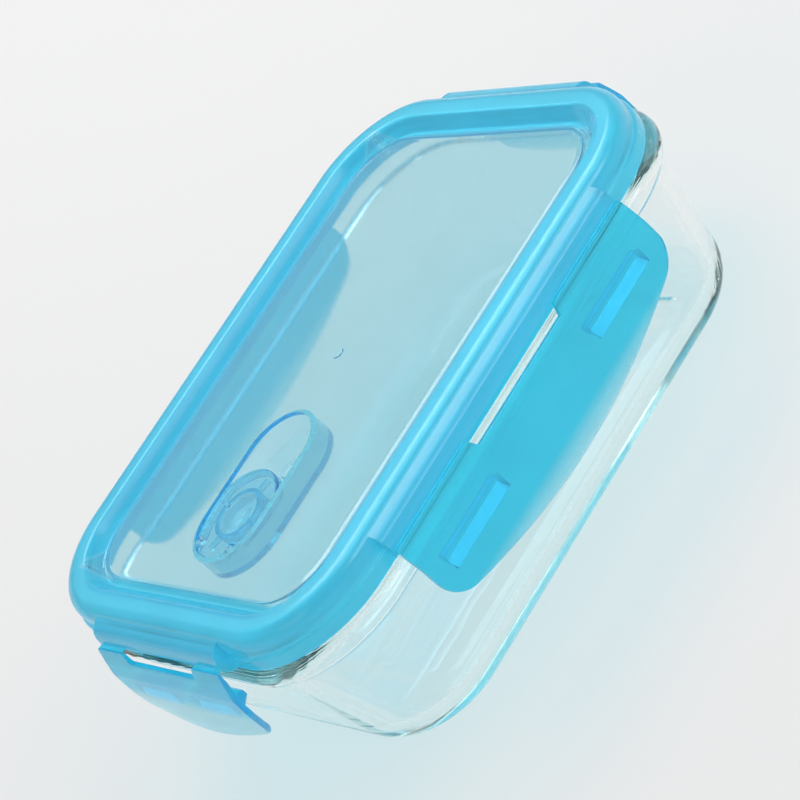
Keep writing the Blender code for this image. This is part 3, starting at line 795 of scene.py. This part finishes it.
def all_sides():
    """The front and back with long latches, then the two ends with short ones."""
    s = sizes()
    long = (s.crown_width / 2, s.long_latch / 2, LONG_LATCH)
    short = (s.crown_length / 2, s.short_latch / 2, SHORT_LATCH)
    return [
        Side("front", (0, -1, 0), *long),
        Side("back", (0, 1, 0), *long),
        Side("left", (-1, 0, 0), *short),
        Side("right", (1, 0, 0), *short),
    ]


def along_side(side, section, half):
    """A closed section drawn out along one side."""
    return loft([[side.place(end, *point) for point in section] for end in (-half, half)])


# Lid.


def lid_section():
    """From the panel's top, over the crown, down the skirt, up the seal channel and back under the panel."""
    s, h = sizes(), heights()
    top, wall, edge = s.crown_top, s.lid_wall, 0.0004
    panel, skirt = h["panel_top"], h["skirt_bottom"]
    crown = (-s.crown_rounding, top - s.crown_rounding)
    inner_round = 0.0016
    inner = (-0.0082, top - inner_round)
    groove = top - 0.0046
    groove_outer = inner[0] - 0.0046
    groove_inner = groove_outer - 0.0012
    panel_edge = groove_inner - 0.0022
    shoulder, step = top - 0.0074, 0.001
    rib_outer = -0.0083
    rib_inner = rib_outer - 0.0017
    rib_bottom = top - wall - 0.0096
    section = [(panel_edge - 0.001, panel), (panel_edge, panel)]
    dip = [(panel_edge + 0.0011, panel - 0.0002), (groove_inner, groove), (groove_outer, groove)]
    section += soften(dip, 3)
    section += soften([(groove_outer + 0.0006, groove + edge), (inner[0] - 0.0022, top - 0.0021)], 2)
    section += arc(inner, inner_round, 140, 90, 5)
    section += arc(crown, s.crown_rounding, 90, 0, 14)
    section += [(0, shoulder + edge), (0.0002, shoulder - edge), (step - 0.0002, shoulder - 2 * edge)]
    section += [(step, shoulder - 3 * edge), (step, skirt + edge)]
    section += [(step - 0.0001, skirt + 0.0001), (step - edge, skirt)]
    section += [(step - wall + edge, skirt), (step - wall, skirt + edge)]
    section += [(step - wall, shoulder - 4 * edge), (-wall, shoulder - edge)]
    section += arc(crown, s.crown_rounding - wall, 0, 90, 8)
    section += [(rib_outer + edge, top - wall), (rib_outer, top - wall - edge)]
    section += [(rib_outer, rib_bottom + edge), (rib_outer - edge, rib_bottom)]
    section += [(rib_inner + edge, rib_bottom), (rib_inner, rib_bottom + edge)]
    section += [(rib_inner, groove - wall - edge), (rib_inner - edge, groove - wall)]
    section += [(groove_inner, groove - wall)]
    return section + [(panel_edge, panel - wall), (panel_edge - 0.001, panel - wall)]


def ledge_parts(side):
    """The shelf that carries a latch, and the hollow under it."""
    h = heights()
    top = sizes().crown_top
    lip = h["hinge_z"] - 0.0003
    foot = h["skirt_bottom"]
    slope = ((-0.0026, 0.0016), (-0.0006, 0.0021), (0.001, 0.0025), (0.0027, 0.0032), (0.0039, 0.0045))
    shelf = [(offset, top - drop) for offset, drop in soften(slope)]
    shelf += [(LEDGE_REACH - 0.0002, top - 0.0061), (LEDGE_REACH, h["hinge_z"] + 0.0007), (LEDGE_REACH, lip)]
    shelf += [(LEDGE_REACH - 0.0007, lip - 0.0014), (0.0028, foot + 0.0011), (0.0014, foot + 0.0004)]
    shelf += [(-0.0002, foot + 0.0006), (-0.0026, foot + 0.004)]
    under = lip - 0.0001
    roof = ((0.0029, 0.0064), (0.0023, 0.0052), (0.0013, 0.0045), (0.0003, 0.0043))
    hollow = [(LEDGE_REACH + CUT_PAST, foot - CUT_PAST), (LEDGE_REACH + CUT_PAST, under)]
    hollow += [(LEDGE_REACH - 0.0007, under), (LEDGE_REACH - 0.0015, h["hinge_z"] + 0.0007)]
    hollow += [(offset, top - drop) for offset, drop in roof]
    hollow += [(roof[-1][0], foot - CUT_PAST)]
    return along_side(side, shelf, side.half), along_side(side, hollow, side.half - LEDGE_END_WALL)


def obround(half_length, radius, middle, steps=32):
    """An outline with round ends, along X."""
    reach = half_length - radius
    return arc((middle + reach, 0), radius, -90, 90, steps) + arc((middle - reach, 0), radius, 90, 270, steps)


def circle(x, radius, steps=48):
    """A round outline about a place on the X axis."""
    return arc((x, 0), radius, 0, 360, steps)[:-1]


def well_steps():
    """The vent well with its cup, the vent hole's seat, a small mark beside it and the hole."""
    s, h = sizes(), heights()
    floor, panel = h["well_floor"], h["panel_top"]
    cup_outline = obround(WELL_HALF + CUP_WALL, WELL_RADIUS + CUP_WALL, WELL_MIDDLE)
    low, high = floor - SEAT_RISE, floor + SEAT_RISE
    return [
        ("UNION", raised(cup_outline, floor - CUP_WALL, panel - s.lid_wall / 2)),
        ("DIFFERENCE", raised(obround(WELL_HALF, WELL_RADIUS, WELL_MIDDLE), floor, s.crown_top)),
        ("UNION", raised(circle(s.vent_x, SEAT_RADIUS), low, high, 0.0003)),
        ("UNION", raised(circle(WELL_MARK_X, 0.0032), low, high, 0.0003)),
        ("DIFFERENCE", raised(circle(s.vent_x, 0.003), floor - 0.006, panel)),
    ]


def lid_steps():
    """The vent well, the cap's lugs, the gate mark and the four ledges."""
    panel = heights()["panel_top"]
    steps = well_steps()
    axis = cap_axis()
    for sign in (-1, 1):
        near, far = sorted((sign * 0.0077, sign * 0.0101))
        lug = box((axis.x - 0.0018, near, axis.z - 0.0016), (axis.x + 0.0015, far, axis.z + 0.0012))
        steps.append(("UNION", lug))
    sockets = rod((axis.x, -SOCKET_REACH, axis.z), (axis.x, SOCKET_REACH, axis.z), SOCKET_RADIUS)
    steps.append(("DIFFERENCE", sockets))
    gate_mark = raised(circle(0, 0.002), panel - sizes().lid_wall / 2, panel + 0.0003, 0.0002)
    steps.append(("UNION", gate_mark))
    for side in all_sides():
        ledge, hollow = ledge_parts(side)
        shelf = as_object(f"shelf_{side.name}", ledge)
        combine(shelf, [("DIFFERENCE", hollow)])
        builder = bmesh.new()
        builder.from_mesh(shelf.data)
        bpy.data.objects.remove(shelf, do_unlink=True)
        steps.append(("UNION", builder))
    return steps


class CONTAINER_OT_lid(bpy.types.Operator):
    """Build the translucent lid with its vent well and ledges"""

    bl_idname = "container.lid"
    bl_label = "Lid"

    def execute(self, context):
        lid = as_object("lid_moulding", sweep(lid_section(), False), lid_material())
        combine(lid, lid_steps())
        smooth(lid)
        settle(lid, "lid", "blue_plastic", "lid_shell")
        return {"FINISHED"}


# Latches.


def lip_height(side, along):
    """Height of the flap's lower edge: a bow that is lowest in the middle, with rounded corners."""
    bowed = heights()["hinge_z"] - side.drop + side.bow * (along / side.half) ** 2
    past = abs(along) - (side.half - side.corner)
    if past <= 0:
        return bowed
    return bowed + side.corner - math.sqrt(max(side.corner**2 - past**2, 0))


def flap_outer(side, along, height):
    """Offset of the flap's outer face: a plate sloping to a crease, then a lip that flares in the middle."""
    h = heights()
    hinge_z, hinge = h["hinge_z"], h["hinge_offset"]
    knee_z, crease_z = hinge_z - KNEE_DROP, hinge_z - CREASE_DROP
    top, knee, crease = hinge + 0.0014, hinge + 0.0029, hinge + 0.0042
    if height >= knee_z:
        return top + (knee - top) * (hinge_z - height) / (hinge_z - knee_z)
    if height >= crease_z:
        return knee + (crease - knee) * (knee_z - height) / (knee_z - crease_z)
    share = (crease_z - height) / (crease_z - (hinge_z - side.drop))
    flare = 0.0018 - 0.0024 * (along / side.half) ** 2
    return crease + 0.0005 * math.sin(math.pi * share) + flare * share**2


def flap_inner(side, along, height):
    """Offset of the flap's inner face: the flap is thinnest at its hinge."""
    below_hinge = heights()["hinge_z"] + FLAP_RISE - height
    return flap_outer(side, along, height) - FLAP_WALL * min(below_hinge / KNEE_DROP, 1) - HINGE_WALL


def flap_section(side, along):
    """The flap's closed section at one station: down its outer face, round its tip and up its inner face."""
    h = heights()
    hinge_z = h["hinge_z"]
    knee_z, crease_z = hinge_z - KNEE_DROP, hinge_z - CREASE_DROP
    in_slit = min(max((side.slit - abs(along)) / SLIT_END, 0), 1)
    top = hinge_z + FLAP_RISE - SLIT_DEPTH * in_slit
    tip = lip_height(side, along)
    fall = crease_z - tip
    levels = [top - 0.0003, (top + knee_z) / 2, knee_z, (knee_z + crease_z) / 2, crease_z]
    levels += [crease_z - fall * share for share in LIP_SHARES]
    outer = [(flap_outer(side, along, level), level) for level in levels]
    section = [(outer[0][0] - 0.0002, top)] + outer
    middle = flap_outer(side, along, tip) - TIP_RADIUS
    rise = max(min(TIP_RADIUS, 0.3 * fall), 1e-5)
    turns = [math.radians(turn) for turn in range(15, 166, 25)]
    section += [(middle + TIP_RADIUS * math.cos(turn), tip + rise * (1 - math.sin(turn))) for turn in turns]
    hook_top = h["bead_bottom"] - 2 * FIT_GAP
    low = max(hook_top - HOOK_HEIGHT, tip + 0.0016)
    levels = [tip + 0.001 + (low - tip - 0.001) * share for share in (0.12, 0.35, 0.6, 0.85, 1)]
    section += [(flap_inner(side, along, level), level) for level in levels]
    start, end = side.ridge
    for down, reach in ((0.0026, 0), (0.0015, 0), (0.0006, 0), (0, 0.0006)):
        level = hook_top - down * (hook_top - low) / HOOK_HEIGHT
        hooked = start <= abs(along) <= end
        section.append((HOOK_OFFSET + reach if hooked else flap_inner(side, along, level), level))
    levels = [hook_top + 0.0006, (hook_top + crease_z) / 2, crease_z]
    levels += [(knee_z + crease_z) / 2, knee_z, top - 0.0002]
    return section + [(flap_inner(side, along, level), level) for level in levels]


def latch_stations(side):
    """Places along a latch for its sections, closer together at its corners, hooks and slit."""
    half = side.half
    marks = [half - side.corner * (1 - math.sin(math.radians(turn))) for turn in range(0, 91, 6)]
    for edge in side.ridge:
        marks += [edge - RIDGE_EDGE, edge + RIDGE_EDGE]
    marks += [side.slit - SLIT_END * share for share in (0, 0.5, 1)]
    marks += [half * step / 28 for step in range(1, 26) if half * step / 28 < half - side.corner - 0.0005]
    marks = sorted(marks)
    marks = [b for a, b in zip([-1] + marks, marks) if b - a > 0.00012]
    return [-mark for mark in reversed(marks)] + [0] + marks


class CONTAINER_OT_latches(bpy.types.Operator):
    """Build the four latches"""

    bl_idname = "container.latches"
    bl_label = "Latches"

    def execute(self, context):
        long = latch_material("long_latch_plastic", 0.036, 0.029)
        short = latch_material("short_latch_plastic", 0.0455, 0.041)
        materials = {"front": long, "back": long, "left": short, "right": short}
        for side in all_sides():
            rings = []
            for along in latch_stations(side):
                rings.append([side.place(along, *point) for point in flap_section(side, along)])
            latch = as_object(f"flap_{side.name}", loft(rings), materials[side.name])
            smooth(latch, 28)
            settle(latch, f"{side.name}_latch", "blue_plastic", f"latch_{side.name}")
        return {"FINISHED"}


def web_section():
    """A thin strip from the ledge's lip to the flap's top, thinnest half way."""
    h = heights()
    inner, outer = LEDGE_REACH - 0.0002, h["hinge_offset"] + 0.0008
    half_wall, dip, steps = 0.00025, 0.00012, 8
    over, under = [], []
    for step in range(steps + 1):
        place = inner + (outer - inner) * step / steps
        rise = half_wall - dip * math.sin(math.pi * step / steps)
        over.append((place, h["hinge_z"] + rise))
        under.append((place, h["hinge_z"] - rise))
    return over + under[::-1]


class CONTAINER_OT_hinges(bpy.types.Operator):
    """Build the living hinges between the lid and the latches"""

    bl_idname = "container.hinges"
    bl_label = "Living hinges"

    def execute(self, context):
        h = heights()
        material = latch_material("hinge_plastic", 0.03, 0.02)
        for side in all_sides():
            for sign, end in ((-1, "a"), (1, "b")):
                stations = [sign * (side.slit + FIT_GAP), sign * (side.half - FIT_GAP)]
                web = loft([[side.place(along, *point) for point in web_section()] for along in stations])
                strip = as_object(f"web_{side.name}_{end}", web, material)
                smooth(strip, 40)
                middle = h["hinge_offset"]
                lid_edge = side.place(0, middle - 0.0004, h["hinge_z"])
                flap_edge = side.place(0, middle + 0.0004, h["hinge_z"])
                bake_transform(strip)
                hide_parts(f"hinge_web_{side.name}_{end}")
        return {"FINISHED"}


# Vent.


def cap_heights():
    """Heights of the cap's top, of its underside and of its skirt's lower edge."""
    top = heights()["panel_top"] - CAP_SINK
    return top, top - CAP_WALL, top - CAP_WALL - 0.002


def cap_axis():
    """The axis that the vent cap turns on."""
    return Vector((WELL_MIDDLE - WELL_HALF + 0.00365, 0, cap_heights()[0] - 0.0008))


def cap_outline(inset=0.0):
    """Round at the hinge end, straight along the well, and a broader round nose."""
    vent_x = sizes().vent_x
    half_width = WELL_RADIUS - 0.0005 - inset
    back_radius = WELL_RADIUS - 0.0012 - inset
    back_x = WELL_MIDDLE - WELL_HALF + WELL_RADIUS
    nose = 0.0156 - inset
    turn = math.degrees(math.asin(half_width / nose))
    shift = math.sqrt(max(half_width**2 - back_radius**2, 0))
    front = arc((vent_x, 0), nose, -turn, turn, 24)
    back = arc((back_x - shift / 4, 0), back_radius, 96, 264, 28)
    return front + [(back_x + 0.002, half_width)] + back + [(back_x + 0.002, -half_width)]


def cap_rib(turn):
    """Outline of one of the ribs between the plug's tube and the cap's skirt."""
    angle = math.radians(turn)
    direction = Vector((math.cos(angle), math.sin(angle)))
    across = Vector((-direction.y, direction.x)) * 0.0005
    middle = Vector((sizes().vent_x, 0))
    inner, outer = middle + direction * 0.0083, middle + direction * 0.01315
    return [tuple(point) for point in (inner - across, outer - across, outer + across, inner + across)]


def cap_steps():
    """The hollow, the tail and notches at the hinge, the trunnions, the plug's tube and its ribs."""
    vent_x = sizes().vent_x
    top, underside, skirt_bottom = cap_heights()
    axis = cap_axis()
    back = WELL_MIDDLE - WELL_HALF - CUT_PAST
    hollow = raised(cap_outline(0.0012), skirt_bottom - CUT_PAST, underside)
    tail = box((back, -WELL_RADIUS, skirt_bottom - CUT_PAST), (axis.x + 0.0036, WELL_RADIUS, underside))
    steps = [("DIFFERENCE", hollow), ("DIFFERENCE", tail)]
    for sign in (-1, 1):
        near, far = sorted((sign * 0.0074, sign * 0.0124))
        notch = box((back, near, skirt_bottom), (axis.x + 0.0022, far, top + CUT_PAST))
        trunnion = rod((axis.x, sign * 0.0064, axis.z), (axis.x, sign * 0.0089, axis.z), 0.0007)
        steps += [("DIFFERENCE", notch), ("UNION", trunnion)]
    for turn in range(75, 435, 90):
        steps.append(("UNION", raised(cap_rib(turn), underside - 0.0016, underside + 0.0004)))
    tube_bottom = underside - 0.0043
    tube = raised(circle(vent_x, TUBE_RADIUS, 64), tube_bottom, underside + 0.0008)
    bore = raised(circle(vent_x, TUBE_BORE, 64), tube_bottom - CUT_PAST, underside)
    return steps + [("UNION", tube), ("DIFFERENCE", bore)]


class CONTAINER_OT_vent_cap(bpy.types.Operator):
    """Build the flip-up vent cap"""

    bl_idname = "container.vent_cap"
    bl_label = "Vent cap"

    def execute(self, context):
        top, _, skirt_bottom = cap_heights()
        block = raised(cap_outline(), skirt_bottom, top, 0.0004)
        cap = as_object("cap_moulding", block, cap_material())
        combine(cap, cap_steps())
        smooth(cap)
        settle(cap, "cap", "clear_plastic", "vent_cap")
        return {"FINISHED"}


def plug_section():
    """Half of the plug: a dished top, a round rim, a flat seat and a short stub into the vent hole."""
    radius = TUBE_BORE - FIT_GAP
    top = cap_heights()[1] - FIT_GAP
    tip = heights()["well_floor"]
    seat = tip + SEAT_RISE + FIT_GAP
    dish = top - 0.0022
    section = [(0.0, top - 0.0008), (0.0022, top - 0.0008), (0.0042, dish), (0.0052, dish)]
    section += [(0.0056, top - 0.0002), (0.0058, top), (radius - 0.0002, top), (radius, top - 0.0002)]
    section += [(radius, seat + 0.0012), (radius - 0.0008, seat), (0.0022, seat)]
    return section + [(0.0019, tip), (0.0, tip)]


class CONTAINER_OT_vent_plug(bpy.types.Operator):
    """Build the silicone plug in the vent cap"""

    bl_idname = "container.vent_plug"
    bl_label = "Vent plug"

    def execute(self, context):
        plug = as_object("plug_silicone", turned(plug_section(), sizes().vent_x, 0), silicone_material())
        smooth(plug)
        settle(plug, "cap", "seal_silicone", "vent_plug")
        return {"FINISHED"}


# Stage.


def area_light(name, place, aim, size, energy):
    """A rectangular lamp that faces a point."""
    data = bpy.data.lights.new(name, "AREA")
    data.shape = "RECTANGLE"
    data.size, data.size_y = size
    data.energy = energy
    lamp = bpy.data.objects.new(name, data)
    lamp.location = place
    lamp.rotation_mode = "QUATERNION"
    lamp.rotation_quaternion = (Vector(aim) - Vector(place)).to_track_quat("-Z", "Y")
    bpy.context.scene.collection.objects.link(lamp)


def make_world():
    """A pale surround that is bright where it meets the floor, and darker above so that clear edges show."""
    world = bpy.data.worlds.new("studio")
    bpy.context.scene.world = world
    world.use_nodes = True
    nodes, links = world.node_tree.nodes, world.node_tree.links
    place = nodes.new("ShaderNodeTexCoord")
    split = nodes.new("ShaderNodeSeparateXYZ")
    ramp = nodes.new("ShaderNodeValToRGB")
    stops = ramp.color_ramp.elements
    stops.new(0.5)
    for stop, (position, face) in zip(stops, SURROUND):
        stop.position = position
        stop.color = (*face, 1)
    links.new(place.outputs["Generated"], split.inputs["Vector"])
    links.new(split.outputs["Z"], ramp.inputs["Fac"])
    links.new(ramp.outputs["Color"], nodes["Background"].inputs["Color"])
    nodes["Background"].inputs["Strength"].default_value = 0.9


def make_camera():
    """The camera, aimed at the container from a distance, an azimuth and an elevation, and rolled."""
    data = bpy.data.cameras.new("camera")
    data.lens = 131.8
    data.sensor_width = 36
    data.clip_start = 0.01
    camera = bpy.data.objects.new("camera", data)
    bpy.context.scene.collection.objects.link(camera)
    aim, distance = Vector((0.0029, 0.0011, 0.0389)), 0.8863
    azimuth, elevation, roll = (math.radians(turn) for turn in (-20.99, 28.09, -47.06))
    back = Vector((math.sin(azimuth), -math.cos(azimuth), 0)) * math.cos(elevation)
    back.z = math.sin(elevation)
    camera.location = aim + back * distance
    camera.rotation_mode = "QUATERNION"
    camera.rotation_quaternion = (-back).to_track_quat("-Z", "Y") @ Quaternion((0, 0, 1), roll)
    bpy.context.scene.camera = camera


class CONTAINER_OT_stage(bpy.types.Operator):
    """Build the floor, the lights and the camera"""

    bl_idname = "container.stage"
    bl_label = "Stage"

    def execute(self, context):
        builder = bmesh.new()
        bmesh.ops.create_grid(builder, x_segments=8, y_segments=8, size=6)
        floor = as_object("floor", builder, floor_material())
        floor.data.transform(Matrix.Translation((0, 0, -0.0002)))
        make_world()
        for lamp in LAMPS:
            area_light(*lamp)
        make_camera()
        context.scene.view_settings.view_transform = "Standard"
        cycles = context.scene.cycles
        cycles.max_bounces = cycles.transmission_bounces = cycles.glossy_bounces = 32
        cycles.transparent_max_bounces = 24
        return {"FINISHED"}


PIECES = (
    CONTAINER_OT_dish,
    CONTAINER_OT_seal,
    CONTAINER_OT_lid,
    CONTAINER_OT_latches,
    CONTAINER_OT_hinges,
    CONTAINER_OT_vent_cap,
    CONTAINER_OT_vent_plug,
    CONTAINER_OT_stage,
)


class CONTAINER_PT_panel(bpy.types.Panel):
    """Lists the sizes, the finishes and the pieces"""

    bl_idname = "CONTAINER_PT_panel"
    bl_label = "Glass Container"
    bl_space_type = "VIEW_3D"
    bl_region_type = "UI"
    bl_category = "Container"

    def draw(self, context):
        for group in (context.scene.container_sizes, context.scene.container_finishes):
            column = self.layout.column()
            for name in group.bl_rna.properties.keys():
                if name not in ("rna_type", "name"):
                    column.prop(group, name)
        for piece in PIECES:
            self.layout.operator(piece.bl_idname)


CLASSES = (ContainerSizes, ContainerFinishes, *PIECES, CONTAINER_PT_panel)


def register():
    for item in CLASSES:
        bpy.utils.register_class(item)
    bpy.types.Scene.container_sizes = bpy.props.PointerProperty(type=ContainerSizes)
    bpy.types.Scene.container_finishes = bpy.props.PointerProperty(type=ContainerFinishes)


def unregister():
    del bpy.types.Scene.container_finishes
    del bpy.types.Scene.container_sizes
    for item in reversed(CLASSES):
        bpy.utils.unregister_class(item)


def main():
    register()
    bpy.ops.container.dish()
    bpy.ops.container.seal()
    bpy.ops.container.lid()
    bpy.ops.container.latches()
    bpy.ops.container.hinges()
    bpy.ops.container.vent_cap()
    bpy.ops.container.vent_plug()
    bpy.ops.container.stage()


if __name__ == "__main__":
    main()
